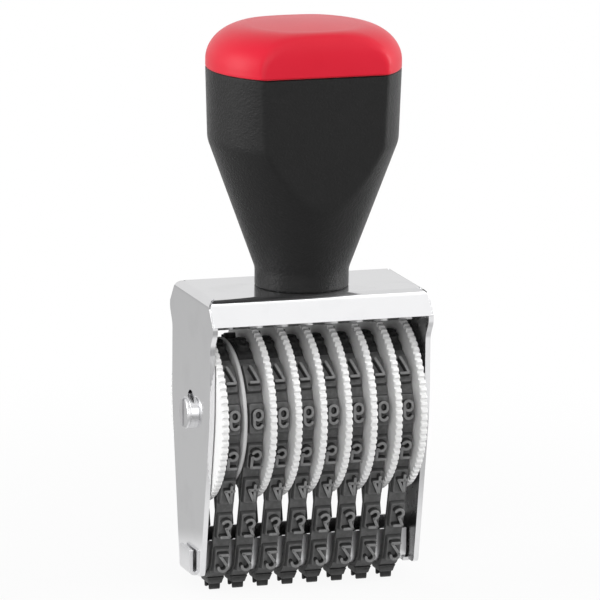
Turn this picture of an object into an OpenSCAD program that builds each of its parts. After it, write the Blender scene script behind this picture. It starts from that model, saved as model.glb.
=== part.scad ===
// Hand numbering machine with eight rubber number bands.
// A folded sheet-metal frame carries an axle with eight toothed thumbwheels. Each wheel has a drum on its side,
// and a rubber band with raised figures runs over that drum and round a channel-shaped foot at the bottom.
// Frame of the model: X across the bands, -Y to the front, Z up. Z = 0 is the printing face, and the axle lies
// along X above it. All lengths are in millimetres.

/* [Number bands] */
// Width of a number band
band_w = 3.4; // [3:0.05:3.6]
// Thickness of a band's plain strip
band_t = 1.0; // [0.8:0.1:1.4]
// Height of the pad under each figure
pad_h = 1.0; // [0.6:0.1:1.4]
// Height of the figure above its pad
type_h = 1.2; // [0.8:0.1:1.6]
// Length of a pad along the band, at its base
pad_len = 5.4; // [4.6:0.1:6]
// Slope of a pad's sides, as the inset of its top edge
pad_slope = 0.22; // [0.1:0.02:0.3]
// Height of a figure
figure_h = 4.0; // [3:0.1:4.4]
// Width of a figure
figure_w = 2.2; // [1.8:0.1:2.5]
// Width of a figure's stroke
stroke_w = 0.55; // [0.4:0.05:0.65]
// Stretch of the figures where a band bends over its drum
drum_stretch = 1.08; // [1:0.01:1.2]
// Gap between a band's runs and the foot's walls, since the stiff pads keep it from turning tightly
band_bulge = 1.2; // [0.9:0.1:1.8]

/* [Thumbwheels] */
// Radius of a thumbwheel over its teeth
disc_r = 17.0; // [16:0.1:18]
// Thickness of a thumbwheel's toothed disc
disc_t = 1.25; // [1:0.05:1.6]
// Number of teeth round a thumbwheel
teeth = 76; // [60:2:84]
// Depth of the teeth
tooth_h = 0.7; // [0.4:0.05:0.9]
// Width of a tooth's tip, as a share of the pitch
tooth_tip = 0.4; // [0.3:0.02:0.5]
// Width of a gap's bottom, as a share of the pitch
tooth_gap = 0.26; // [0.16:0.02:0.34]
// Chamfer on both edges of the teeth
tooth_chamfer = 0.2; // [0.1:0.05:0.4]
// Radius of the drum that drives the band
drum_r = 11.3; // [10.4:0.1:12]
// Length of the drum along the axle
drum_len = 3.65; // [3.65:0.05:4.2]
// Radius of the plain disc between the first two bands
separator_r = 14.1; // [12.6:0.1:15.5]
// Thickness of that disc
separator_t = 0.8; // [0.6:0.1:1.2]

/* [Axle] */
// Radius of the axle
axle_r = 3.0; // [2.8:0.1:4]
// Radius of the screw shanks that clamp the axle
shank_r = 1.95; // [1.5:0.05:2]
// How far a screw reaches into the axle
shank_reach = 6; // [4:0.5:9]
// Radius of a screw head
head_r = 3.05; // [2.9:0.05:3.6]
// Height of a screw head
head_h = 1.5; // [1:0.1:2]
// Width of the screwdriver slots
driver_w = 0.9; // [0.6:0.1:1.2]
// Depth of the screwdriver slots
driver_d = 0.7; // [0.4:0.1:0.8]
// Thickness of the thin washer at the left end
shim_t = 0.1; // [0.1:0.05:0.5]
// Thickness of the spacer at the right end
spacer_t = 0.9; // [0.5:0.1:1.5]
// Radius of both washers
washer_r = 5.2; // [4.6:0.1:7]

/* [Frame] */
// Thickness of the frame's sheet metal
sheet_t = 1.0; // [0.8:0.1:1.3]
// Outside radius of the folds at the side plates
fold_r = 1.6; // [1.4:0.1:2.2]
// Clear height between the teeth and the top plate
top_gap = 5.8; // [4.6:0.1:8]
// Depth of the flat top plate between its sloping flanges
top_depth = 20.8; // [19:0.2:23]
// Depth over the shoulders, where the flanges end
shoulder_depth = 27.8; // [26:0.2:30]
// Drop of the sloping flanges
shoulder_drop = 4.6; // [4:0.1:5.4]
// Depth of the side plates below the shoulders
waist_depth = 24.2; // [22:0.2:25.8]
// Height over which the side plates narrow to that depth
waist_drop = 5.0; // [3:0.1:7]
// Depth of the side plates at their lower edge
toe_depth = 13.4; // [12:0.2:16]
// Radius of the side plates' lower corners
toe_r = 1.4; // [0.5:0.1:2.5]
// Height of the straight taper of the side plates
taper_h = 31.5; // [26:0.5:36]
// Gap between a flange's end and the side plate
seam = 0.1; // [0.05:0.05:0.3]
// Radius of the relief holes where three folds meet
relief_r = 0.55; // [0.55:0.05:0.9]
// Width of the slots that the axle screws pass through
slot_w = 4.2; // [4.1:0.1:5]
// Length of a slot's straight part above the axle
slot_up = 2.3; // [0.5:0.1:3]
// Length of a slot's straight part below the axle
slot_down = 0.8; // [0.5:0.1:3]

/* [Foot] */
// Height of the axle above the foot's underside
axle_to_foot = 31.25; // [29:0.25:36]
// Depth of the foot channel
foot_depth = 6.9; // [6:0.1:8]
// Thickness of the foot's sheet metal
foot_t = 0.8; // [0.6:0.05:1]
// Outside radius of the foot's lower edges
foot_r = 2.4; // [1.4:0.1:2.8]
// Height of the channel's front wall
front_wall = 6.65; // [5:0.1:7.5]
// Height of the channel's rear wall
rear_wall = 7.95; // [6:0.1:9]
// How far the foot stands out below the side plates
foot_proud = 0.45; // [0.2:0.05:0.55]
// Width of the tabs that grip the side plates
tab_w = 6.6; // [5:0.1:7]
// Height of the tabs above the foot's underside
tab_h = 5.05; // [4:0.1:7]
// Gap between a tab and its side plate
tab_gap = 0.3; // [0.1:0.05:0.6]
// Gap between the ends of the channel's walls and the side plates
wall_gap = 0.3; // [0.1:0.05:0.6]

/* [Handle] */
// Radius of the handle's neck
neck_r = 9.0; // [8:0.1:10]
// Height of the straight neck
neck_h = 3.4; // [2:0.1:6]
// Height at which the cone ends
cone_top = 28.3; // [24:0.1:32]
// Radius of the cone's end
cone_r = 18.2; // [17:0.1:18.4]
// Radius of the handle at its parting line with the cap
grip_r = 18.67; // [18.4:0.01:20]
// Height of the black handle body
body_h = 42.2; // [38:0.1:46]
// How far the handle's front and rear flats lie inside the frame's shoulders
flat_inset = 0.05; // [0:0.05:2]
// Height of the cap above the parting line
cap_h = 8.5; // [7:0.1:10]
// Height of the cap's straight side
cap_side = 1.4; // [1:0.1:3]
// Radius of the spigot that holds the cap in the body
spigot_r = 11; // [8:0.1:12]
// Length of that spigot
spigot_h = 4; // [2:0.1:6]
// Radius of the screw that holds the handle
handle_screw_r = 2.4; // [2:0.1:3]
// How far that screw reaches into the handle
handle_screw_reach = 16; // [10:0.5:22]
// Radius of its head
handle_head_r = 4.4; // [4:0.1:5]
// Height of its head
handle_head_h = 2.2; // [1.6:0.1:2.4]
// Thickness of its washer
handle_washer_t = 0.8; // [0.5:0.1:1]

/* [Fits] */
// Gap between neighbouring pieces along the axle
play = 0.1; // [0.08:0.01:0.15]
// Radial clearance of the wheels on the axle
bore_gap = 0.06; // [0.03:0.01:0.1]
// Gap between a drum and its band
drum_gap = 0.3; // [0.25:0.05:0.45]
// Clearance round screw shanks and the cap's spigot
shank_gap = 0.05; // [0.03:0.01:0.1]

/* [Hidden] */
$fn = 96;

NICKEL = [0.76, 0.76, 0.77];
STEEL = [0.6, 0.6, 0.61];
WHITE = [0.93, 0.93, 0.92];
RUBBER = [0.36, 0.36, 0.37];
BLACK = [0.14, 0.14, 0.15];
RED = [0.84, 0.12, 0.2];

bands = 8;
cut = 1;                     // how far a cutter runs past the face that it opens
flats = shoulder_depth - 2 * flat_inset;

// The stack along the axle, from the left side plate to the right one
wheel_pitch = disc_t + drum_len + play;
inner_w = shim_t + bands * wheel_pitch + separator_t + 2 * play + spacer_t;
left_in = -inner_w / 2;
frame_half = inner_w / 2 + sheet_t;
first_left = left_in + shim_t + play;
separator_left = first_left + disc_t + drum_len + play;
second_left = separator_left + separator_t + play;
// Left end of each drum, and left face of each disc: wheel 1 has its disc on the left, the others on the right
function drum_left(k) = k == 1 ? first_left + disc_t : second_left + (k - 2) * wheel_pitch;
function disc_left(k) = k == 1 ? first_left : drum_left(k) + drum_len;
function band_left(k) = drum_left(k) + (drum_len - band_w) / 2;

// Heights
foot_z = band_t + pad_h + type_h;
axle_z = foot_z + axle_to_foot;
side_z = foot_z + foot_proud;
under_z = axle_z + disc_r + top_gap;
top_z = under_z + sheet_t;

// A band's loop: two tangent arcs joined by straight runs, measured at half the strip's thickness
loop_r = drum_r + drum_gap + band_t / 2;
turn_in = foot_r + band_bulge;
turn_r = turn_in + band_t / 2;
turn_y = foot_depth / 2 - foot_r;
turn_z = foot_z + turn_in;
centres = norm([turn_y, axle_z - turn_z]);
run_len = sqrt(centres * centres - pow(loop_r - turn_r, 2));
run_tilt = asin((loop_r - turn_r) / centres) - asin(turn_y / centres);
bottom_arc = 90 - run_tilt;
top_arc = 90 + run_tilt;
turn_len = turn_r * bottom_arc * PI / 180;
half_loop = turn_y + turn_len + run_len + loop_r * top_arc * PI / 180;
figures = 15;
figure_pitch = 2 * half_loop / figures;
// Figure at each place, counted from the printing place up the front; -1 is a bare pad
FIGURE_AT = [1, 2, 3, 4, 5, 6, 7, 8, 9, -1, -1, -1, -1, -1, 0];

// Angle, from pointing down, of the band's outward side at a distance along the loop from the printing place
function loop_angle(s) =
    s < turn_y ? 0
    : s < turn_y + turn_len ? (s - turn_y) / turn_r * 180 / PI
    : s < turn_y + turn_len + run_len ? bottom_arc
    : bottom_arc + (s - turn_y - turn_len - run_len) / loop_r * 180 / PI;
// Place on the loop at that distance, as depth from the middle and height
function loop_point(s) =
    let (a = loop_angle(s), along = s - turn_y - turn_len)
    s < turn_y ? [s, turn_z - turn_r]
    : s < turn_y + turn_len ? [turn_y + turn_r * sin(a), turn_z - turn_r * cos(a)]
    : s < turn_y + turn_len + run_len ? [
        turn_y + turn_r * sin(a) + along * cos(a), turn_z - turn_r * cos(a) + along * sin(a)
    ]
    : [loop_r * sin(a), axle_z - loop_r * cos(a)];

// Points on an arc round centre c
function arc(c, r, from, to, n = 6) =
    [for (i = [0:n]) let (a = from + (to - from) * i / n) [c[0] + r * cos(a), c[1] + r * sin(a)]];
// Points on a smooth bend from p to q, pulled towards corner m
function bend(p, m, q, n = 6) =
    [for (i = [0:n]) let (t = i / n) (1 - t) * (1 - t) * p + 2 * t * (1 - t) * m + t * t * q];

// Extrudes a shape drawn in depth and height along X, from x to x + len
module along_x(x, len) {
    translate([x, 0, 0]) rotate([90, 0, 90]) linear_extrude(height = len) children();
}

// A rod along X
module rod_x(x, len, r) {
    translate([x, 0, axle_z]) rotate([0, 90, 0]) cylinder(h = len, r = r);
}

// A flat ring on the axle
module axle_ring(x, len, r) {
    difference() {
        rod_x(x, len, r);
        rod_x(x - cut, len + 2 * cut, axle_r + bore_gap);
    }
}

// ---- Frame ----

flange_run = (shoulder_depth - top_depth) / 2;
flange_len = norm([flange_run, shoulder_drop]);
flange_out = [shoulder_drop, flange_run] / flange_len;
flange_end = [shoulder_depth / 2, top_z - shoulder_drop];
flange_bend = 0.4;           // inside radius of a flange's fold
flange_turn = sheet_t + flange_bend;
flange_y = flange_end[0]
    - (flange_turn + flange_out[1] * (shoulder_drop - flange_turn)) / flange_out[0];
flange_angle = atan2(flange_out[1], flange_out[0]);
flange_lap = 0.5;            // how far a flange runs into the top plate
// Depth of the sloping corner of a side plate at the height where its fold ends
corner_y = top_depth / 2 + flange_run * fold_r / shoulder_drop;
waist_z = top_z - shoulder_drop - waist_drop;
shoulder_land = 0.5;         // short straight edge below the shoulder
taper_lead = 4;              // how far the smooth bend above the taper reaches each way
toe_flare = 0.2;             // how far the side still slopes out where the lower corner begins
relief_in = 0.3;             // how far the relief holes lie inside the side plates
relief_back = 0.25;          // and behind the start of a flange's fold

// Half of a side plate's outline, from the top plate down
function plate_edge() = concat(
    [[flange_y, top_z], [corner_y, top_z - fold_r], flange_end],
    [for (i = [0:8]) let (t = i / 8) [
        (waist_depth + (shoulder_depth - waist_depth) * (1 + cos(180 * t)) / 2) / 2,
        top_z - shoulder_drop - shoulder_land - (waist_drop - shoulder_land) * t
    ]],
    bend(
        [waist_depth / 2, side_z + taper_h + taper_lead],
        [waist_depth / 2, side_z + taper_h],
        [
            waist_depth / 2 - (waist_depth - toe_depth) / 2 * taper_lead / taper_h,
            side_z + taper_h - taper_lead
        ]
    ),
    arc([toe_depth / 2 - toe_r + toe_flare, side_z + toe_r], toe_r, 0, -90)
);

// The arch that the folded sheet follows, seen from the front
module arch(half, top, r) {
    translate([-half, 0]) square([2 * half, top - r]);
    translate([-half + r, 0]) square([2 * (half - r), top]);
    for (s = [-1, 1]) translate([s * (half - r), top - r]) circle(r = r);
}

module folded_sheet() {
    rotate([90, 0, 0]) linear_extrude(height = shoulder_depth + cut, center = true) difference() {
        arch(frame_half, top_z, fold_r);
        translate([0, -cut]) arch(inner_w / 2, under_z + cut, fold_r - sheet_t);
    }
}

module plate_outline() {
    edge = plate_edge();
    polygon(concat(edge, [for (i = [len(edge) - 1:-1:0]) [-edge[i][0], edge[i][1]]]));
}

module sloping_flange() {
    turn = [flange_y, top_z - flange_turn];
    along_x(left_in + seam, inner_w - 2 * seam) polygon(concat(
        [[flange_y - flange_lap, top_z - sheet_t], [flange_y - flange_lap, top_z]],
        arc(turn, flange_turn, 90, flange_angle),
        [flange_end, flange_end - sheet_t * flange_out],
        arc(turn, flange_turn - sheet_t, flange_angle, 90)
    ));
}

module axle_slot(x) {
    along_x(x - cut, sheet_t + 2 * cut) {
        translate([-slot_w / 2, axle_z - slot_down]) square([slot_w, slot_up + slot_down]);
        translate([0, axle_z - slot_down]) circle(d = slot_w);
        translate([0, axle_z + slot_up]) circle(d = slot_w);
    }
}

module frame() {
    color(NICKEL) difference() {
        union() {
            intersection() {
                folded_sheet();
                along_x(-frame_half, 2 * frame_half) plate_outline();
            }
            for (s = [0, 1]) mirror([0, s, 0]) sloping_flange();
        }
        axle_slot(-frame_half);
        axle_slot(frame_half - sheet_t);
        translate([0, 0, under_z - cut]) cylinder(h = sheet_t + 2 * cut, r = handle_screw_r + 2 * shank_gap);
        for (s = [-1, 1]) {
            // Notch that seats on the foot's tongue
            along_x(s < 0 ? -frame_half - cut : frame_half - sheet_t - cut, sheet_t + 2 * cut)
                translate([-tab_w / 2 - tab_gap, side_z - cut])
                    square([tab_w + 2 * tab_gap, foot_z + foot_t - side_z + cut]);
            for (t = [-1, 1])
                translate([s * (inner_w / 2 - relief_in), t * (flange_y - relief_back), under_z - cut])
                    cylinder(h = sheet_t + 2 * cut, r = relief_r);
        }
    }
}

// ---- Foot ----

// A trough's outline with round lower corners, open towards the top
module trough(half, z, r, top) {
    translate([-half, z + r]) square([2 * half, top - z - r]);
    translate([-half + r, z]) square([2 * (half - r), top - z]);
    for (s = [-1, 1]) translate([s * (half - r), z + r]) circle(r = r);
}

module foot_channel() {
    tongue_in = inner_w / 2 - sheet_t;
    tab_in = frame_half + tab_gap;
    color(NICKEL) {
        along_x(left_in + wall_gap, inner_w - 2 * wall_gap) difference() {
            trough(foot_depth / 2, foot_z, foot_r, foot_z + rear_wall);
            trough(foot_depth / 2 - foot_t, foot_z + foot_t, foot_r - foot_t, foot_z + rear_wall + cut);
            translate([-foot_depth / 2 - cut, foot_z + front_wall]) square([foot_depth / 2 + cut, rear_wall]);
        }
        for (s = [0, 1]) mirror([s, 0, 0]) rotate([90, 0, 0])
            linear_extrude(height = tab_w, center = true) polygon(concat(
                [[tongue_in, foot_z + foot_t], [tongue_in, foot_z]],
                arc([frame_half, foot_z + foot_t + tab_gap], foot_t + tab_gap, -90, 0),
                [[tab_in + foot_t, foot_z + tab_h], [tab_in, foot_z + tab_h]],
                arc([frame_half, foot_z + foot_t + tab_gap], tab_gap, 0, -90)
            ));
    }
}

// ---- Axle ----

module axle_rod() {
    color(STEEL) difference() {
        rod_x(left_in, inner_w, axle_r);
        rod_x(left_in - cut, shank_reach + 1 + cut, shank_r + shank_gap);
        rod_x(-left_in - shank_reach - 1, shank_reach + 1 + cut, shank_r + shank_gap);
    }
}

// A slotted round-edged screw that points to +X, with its head's underside at x = 0
module slotted_screw(r, reach, hr, hh) {
    edge = hh * 0.55;
    tip = 0.4;
    rotate([0, 90, 0]) difference() {
        rotate_extrude() polygon(concat(
            [[0, -hh]],
            arc([hr - edge, -hh + edge], edge, -90, 0),
            [[hr, 0], [r, 0], [r, reach - tip], [r - tip, reach], [0, reach]]
        ));
        translate([-hr - cut, -driver_w / 2, -hh - cut]) cube([2 * (hr + cut), driver_w, driver_d + cut]);
    }
}

module axle_screw() {
    color(NICKEL) translate([-frame_half, 0, axle_z])
        slotted_screw(shank_r, sheet_t + shank_reach, head_r, head_h);
}

// ---- Thumbwheels ----

// The toothed outline: flat tips and flat-bottomed gaps with sloping sides
module toothed_disc() {
    step = 360 / teeth;
    root_r = disc_r - tooth_h;
    tip = tooth_tip / 2;
    foot = (1 - tooth_gap) / 2;
    polygon([for (i = [0:teeth - 1], p = [[-foot, root_r], [-tip, disc_r], [tip, disc_r], [foot, root_r]])
        let (a = (i + p[0]) * step) [p[1] * cos(a), p[1] * sin(a)]]);
}

module thumbwheel(k) {
    color(WHITE) difference() {
        union() {
            intersection() {
                translate([0, 0, axle_z]) along_x(disc_left(k), disc_t) toothed_disc();
                translate([disc_left(k), 0, axle_z]) rotate([0, 90, 0]) rotate_extrude() polygon([
                    [0, 0], [disc_r - tooth_chamfer, 0], [disc_r, tooth_chamfer],
                    [disc_r, disc_t - tooth_chamfer], [disc_r - tooth_chamfer, disc_t], [0, disc_t]
                ]);
            }
            rod_x(k == 1 ? drum_left(k) - disc_t / 2 : drum_left(k), drum_len + disc_t / 2, drum_r);
        }
        rod_x(left_in - cut, inner_w + 2 * cut, axle_r + bore_gap);
    }
}

// ---- Number bands ----

// A straight stroke between two points, with square ends
module stroke(p, q) {
    d = (q - p) / norm(q - p) * stroke_w / 2;
    n = [-d[1], d[0]];
    polygon([p + n, q + n, q - n, p - n]);
}

// A bowed stroke round centre c
module bow(c, r, from, to) {
    steps = ceil(abs(to - from) / 24);
    polygon(concat(
        arc(c, r + stroke_w / 2, from, to, steps),
        arc(c, r - stroke_w / 2, to, from, steps)
    ));
}

// A figure in a box centred on the origin, upright as it prints
module figure(n) {
    w = (figure_w - stroke_w) / 2;
    h = (figure_h - stroke_w) / 2;
    e = stroke_w / 2;
    up = h - w;
    if (n == 0 || n == 8) {
        low = n == 0 ? -up : -0.5 * up - 0.5 * e;
        bow([0, up], w, 0, n == 0 ? 180 : 360);
        bow([0, -up], w, n == 0 ? 180 : 0, 360);
        if (n == 0) for (s = [-1, 1]) stroke([s * w, low], [s * w, up]);
        if (n == 8) stroke([0, w - up], [0, up - w]);
    }
    if (n == 1) {
        stroke([0, -h], [0, h + e]);
        stroke([0, h], [-w, h - w]);
        stroke([-w - e, -h], [w + e, -h]);
    }
    if (n == 2) {
        bow([0, up], w, 180, -30);
        stroke([w * cos(30) + 0.05, up - w * 0.4], [-w, -h]);
        stroke([-w - e, -h], [w + e, -h]);
    }
    if (n == 3) {
        stroke([-w - e, h], [w + e, h]);
        stroke([w, h], [0, -up + w]);
        bow([0, -up], w, 115, -150);
    }
    if (n == 4) {
        stroke([w * 0.4, h + e], [-w, -h * 0.45]);
        stroke([-w - e, -h * 0.45], [w + e, -h * 0.45]);
        stroke([w * 0.4, h], [w * 0.4, -h - e]);
    }
    if (n == 5) {
        stroke([-w - e, h], [w + e * 0.5, h]);
        stroke([-w, h], [-w, -up + w * 0.6]);
        bow([0, -up], w, 145, -150);
    }
    if (n == 6 || n == 9) rotate(n == 6 ? 0 : 180) {
        bow([0, -up], w, 0, 360);
        stroke([-w, -up], [-w, up]);
        bow([0, up], w, 180, 25);
    }
    if (n == 7) {
        stroke([-w - e, h], [w + e, h]);
        stroke([w, h], [-w * 0.35, -h - e]);
    }
}

// Profile of a pad with sloping sides, half as wide as half at its base, from -sink up to the height h
module sloped(half, h, sink) {
    polygon([[-half, -sink], [-half, 0], [-half + pad_slope, h], [half - pad_slope, h], [half, 0], [half, -sink]]);
}

// A pad with its figure, outward side up and the loop's forward direction along +Y. Round the drum both bend
module type_pad(n, bent) {
    sink = (bent ? 0.5 : 0.9) * band_t;
    pad_r = loop_r + band_t / 2 + pad_h;
    grow = bent ? drum_stretch : 1;
    translate([0, 0, band_t / 2]) {
        intersection() {
            rotate([90, 0, 90]) linear_extrude(height = band_w, center = true)
                sloped(pad_len / 2 * grow, pad_h, sink);
            rotate([90, 0, 0]) linear_extrude(height = 2 * pad_len, center = true)
                sloped(band_w / 2 - pad_slope / 2, pad_h, sink);
            if (bent) bent_slice(pad_r);
        }
        if (n >= 0) intersection() {
            translate([0, 0, bent ? -sink : pad_h - 0.1])
                linear_extrude(height = bent ? sink + pad_h + type_h : type_h + 0.1)
                    mirror([0, 1]) scale([1, grow]) figure(n);
            if (bent) bent_slice(pad_r + type_h);
        }
    }
}

// Everything within a radius of the axle, in a pad's own frame
module bent_slice(r) {
    translate([0, 0, -loop_r - band_t / 2]) rotate([0, 90, 0])
        cylinder(h = 2 * band_w, r = r, center = true);
}

// The side view of a loop at a distance outside its inner face
module loop_shape(out) {
    rt = turn_in + out;
    rl = drum_r + drum_gap + out;
    translate([0, axle_z]) circle(r = rl);
    for (s = [-1, 1]) translate([s * turn_y, turn_z]) circle(r = rt);
    c = cos(run_tilt);
    d = sin(run_tilt);
    right = [
        [turn_y, turn_z - rt], [turn_y + rt * c, turn_z - rt * d], [rl * c, axle_z - rl * d], [0, axle_z]
    ];
    for (s = [0, 1]) mirror([s, 0]) polygon(concat([[0, turn_z - rt]], right));
}

module number_band(k) {
    color(RUBBER) {
        along_x(band_left(k), band_w) difference() {
            loop_shape(band_t);
            loop_shape(0);
        }
        for (i = [0:figures - 1]) {
            rear = i > figures / 2;
            s = (rear ? figures - i : i) * figure_pitch;
            p = loop_point(s);
            turn = 180 - loop_angle(s);
            translate([band_left(k) + band_w / 2, rear ? p[0] : -p[0], p[1]])
                rotate([rear ? -turn : turn, 0, 0])
                    type_pad(FIGURE_AT[i], s > turn_y + turn_len + run_len);
        }
    }
}

// ---- Handle ----

// Keeps what lies between the handle's front and rear flats
module between_flats() {
    translate([-grip_r - cut, -flats / 2, top_z - cut])
        cube([2 * (grip_r + cut), flats, body_h + cap_h + 2 * cut]);
}

module handle_body() {
    edge = 0.5;
    slope = (cone_r - neck_r) / (cone_top - neck_h);
    fillet = 1;
    blend = 2.6;
    color(BLACK) difference() {
        intersection() {
            translate([0, 0, top_z]) rotate_extrude() polygon(concat(
                [[0, 0], [neck_r - edge, 0], [neck_r, edge]],
                bend([neck_r, neck_h - fillet], [neck_r, neck_h], [neck_r + slope * fillet, neck_h + fillet], 3),
                bend(
                    [cone_r - slope * blend, cone_top - blend],
                    [cone_r, cone_top],
                    [cone_r + (grip_r - cone_r) * blend / (body_h - cone_top), cone_top + blend]
                ),
                [[grip_r, body_h - edge / 2], [grip_r - edge / 2, body_h], [0, body_h]]
            ));
            between_flats();
        }
        translate([0, 0, top_z - cut]) cylinder(h = handle_screw_reach + 1 + cut, r = handle_screw_r + shank_gap);
        translate([0, 0, top_z + body_h - spigot_h - 0.5])
            cylinder(h = spigot_h + 0.5 + cut, r = spigot_r + shank_gap);
    }
}

module handle_cap() {
    edge = 0.25;
    crown_r = grip_r * 0.55;
    crown_rise = 0.3;
    crown_z = cap_h - crown_rise;
    color(RED) intersection() {
        translate([0, 0, top_z + body_h]) rotate_extrude() polygon(concat(
            [[0, -spigot_h], [spigot_r, -spigot_h], [spigot_r, 0], [grip_r - edge, 0], [grip_r, edge]],
            [for (i = [0:8]) let (a = 90 * i / 8) [
                crown_r + (grip_r - crown_r) * cos(a), cap_side + (crown_z - cap_side) * sin(a)
            ]],
            bend([crown_r, crown_z], [crown_r * 0.5, cap_h], [0, cap_h], 4)
        ));
        between_flats();
    }
}

module handle_screw() {
    under = under_z - handle_washer_t;
    color(STEEL) translate([0, 0, under]) rotate([0, -90, 0])
        slotted_screw(
            handle_screw_r, handle_washer_t + sheet_t + handle_screw_reach, handle_head_r, handle_head_h
        );
}

module handle_washer() {
    color(STEEL) translate([0, 0, under_z - handle_washer_t]) difference() {
        cylinder(h = handle_washer_t, r = handle_head_r + 0.8);
        translate([0, 0, -cut]) cylinder(h = handle_washer_t + 2 * cut, r = handle_screw_r + 2 * shank_gap);
    }
}

frame();
foot_channel();
axle_rod();
axle_screw();  // axle_screw_left
mirror([1, 0, 0]) axle_screw();  // axle_screw_right
color(STEEL) axle_ring(left_in, shim_t, washer_r);  // end_shim
color(WHITE) axle_ring(-left_in - spacer_t, spacer_t, washer_r);  // end_spacer
color(WHITE) axle_ring(separator_left, separator_t, separator_r);  // separator_disc
thumbwheel(1);  // thumbwheel_1
thumbwheel(2);  // thumbwheel_2
thumbwheel(3);  // thumbwheel_3
thumbwheel(4);  // thumbwheel_4
thumbwheel(5);  // thumbwheel_5
thumbwheel(6);  // thumbwheel_6
thumbwheel(7);  // thumbwheel_7
thumbwheel(8);  // thumbwheel_8
number_band(1);  // number_band_1
number_band(2);  // number_band_2
number_band(3);  // number_band_3
number_band(4);  // number_band_4
number_band(5);  // number_band_5
number_band(6);  // number_band_6
number_band(7);  // number_band_7
number_band(8);  // number_band_8
handle_body();
handle_cap();
handle_screw();
handle_washer();
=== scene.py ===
# %% [markdown]
# # A hand numbering machine with eight rubber bands
# The machine is a bright folded sheet frame with a black and red handle. Eight white thumbwheels turn
# rubber bands that carry raised figures. Every piece below is a surface worked out with numpy, in
# millimetres, in the frame of the model: X runs along the axle, -Y is the front, Z is up, and the figures
# print at Z = 0.

# %% The frame that everything hangs on
from math import radians

import bmesh
import bpy
import numpy as np
from mathutils import Matrix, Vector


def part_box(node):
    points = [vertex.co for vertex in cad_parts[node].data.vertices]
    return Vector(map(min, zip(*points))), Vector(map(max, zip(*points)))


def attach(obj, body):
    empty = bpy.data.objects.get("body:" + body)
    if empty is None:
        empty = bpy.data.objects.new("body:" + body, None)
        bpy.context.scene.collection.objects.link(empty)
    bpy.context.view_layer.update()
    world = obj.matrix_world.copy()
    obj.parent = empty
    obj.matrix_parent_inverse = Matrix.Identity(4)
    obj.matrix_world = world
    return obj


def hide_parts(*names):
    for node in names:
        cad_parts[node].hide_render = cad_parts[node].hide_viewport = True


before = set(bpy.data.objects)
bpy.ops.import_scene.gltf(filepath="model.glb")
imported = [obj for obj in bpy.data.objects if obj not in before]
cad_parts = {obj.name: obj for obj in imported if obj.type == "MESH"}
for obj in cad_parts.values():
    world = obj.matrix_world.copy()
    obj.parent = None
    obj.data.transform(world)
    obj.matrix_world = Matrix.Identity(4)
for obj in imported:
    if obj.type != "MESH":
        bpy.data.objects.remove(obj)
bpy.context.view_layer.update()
MM = 0.001
BANDS = 8


def box_mm(node):
    """Lowest and highest corner of a node, in millimetres."""
    low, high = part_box(node)
    return np.array(low) / MM, np.array(high) / MM


FRAME_LOW, FRAME_HIGH = box_mm("frame")
WHEEL_LOW, WHEEL_HIGH = box_mm("thumbwheel_1")
AXLE_Z = (WHEEL_LOW[2] + WHEEL_HIGH[2]) / 2
TOP_Z = FRAME_HIGH[2]
print(f"frame {FRAME_HIGH - FRAME_LOW} mm, axle at {AXLE_Z:.2f} mm, top plate at {TOP_Z:.2f} mm")

# %% [markdown]
# ## The camera
# A long lens a good metre away looks down a little and from the left. Its three axes are worked out from
# the azimuth, the elevation and a small roll, and written into the camera's matrix as columns.

# %% Camera
CAMERA_AZIMUTH = -18.225
CAMERA_ELEVATION = 11.833
CAMERA_ROLL = 0.536
CAMERA_DISTANCE = 1252.5
CAMERA_TARGET = np.array([-0.27, 0.0, 55.115])
CAMERA_LENS = 393.52
CAMERA_SENSOR = 36.0
CAMERA_CLIP = 0.05


def camera_axes(azimuth, elevation, roll):
    """Right, up and forward: forward dips by the elevation, and right and up turn about it by the roll."""
    a, e, t = np.radians([azimuth, elevation, roll])
    forward = np.array([-np.sin(a) * np.cos(e), np.cos(a) * np.cos(e), -np.sin(e)])
    level = np.array([np.cos(a), np.sin(a), 0.0])
    upright = np.cross(level, forward)
    return level * np.cos(t) + upright * np.sin(t), upright * np.cos(t) - level * np.sin(t), forward


def new_object(name, data):
    """A new object in the scene."""
    made = bpy.data.objects.new(name, data)
    bpy.context.collection.objects.link(made)
    return made


def aim(made, position, right, up, back):
    """Puts an object at a position in millimetres, with its own X, Y and Z along right, up and back."""
    turn = Matrix(np.stack([right, up, back], axis=1).tolist()).to_4x4()
    made.matrix_world = Matrix.Translation(np.array(position) * MM) @ turn


right, up, forward = camera_axes(CAMERA_AZIMUTH, CAMERA_ELEVATION, CAMERA_ROLL)
camera = new_object("camera", bpy.data.cameras.new("camera"))
camera.data.sensor_width = CAMERA_SENSOR
camera.data.lens = CAMERA_LENS
camera.data.clip_start = CAMERA_CLIP
aim(camera, CAMERA_TARGET - CAMERA_DISTANCE * forward, right, up, -forward)
bpy.context.scene.camera = camera
bpy.context.scene.view_settings.view_transform = "Standard"
print(f"camera {CAMERA_DISTANCE * MM:.2f} m away, lens {CAMERA_LENS} mm")

# %% [markdown]
# ## Grids into pieces
# A surface is a grid of points. `patch` joins neighbours into quads, and `piece` puts one or more patches
# into a mesh, closes its seams and poles by merging, turns the faces outwards, and tells the frame what the
# piece is. Thickness and rounded edges come from live Solidify and Bevel modifiers, so the functions stay
# short.

# %% Mesh helpers
# Points nearer than MERGE become one, and heights that differ by less than HAIR are the same
MERGE = 0.002
HAIR = 1e-6
SHARP = radians(32)


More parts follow.
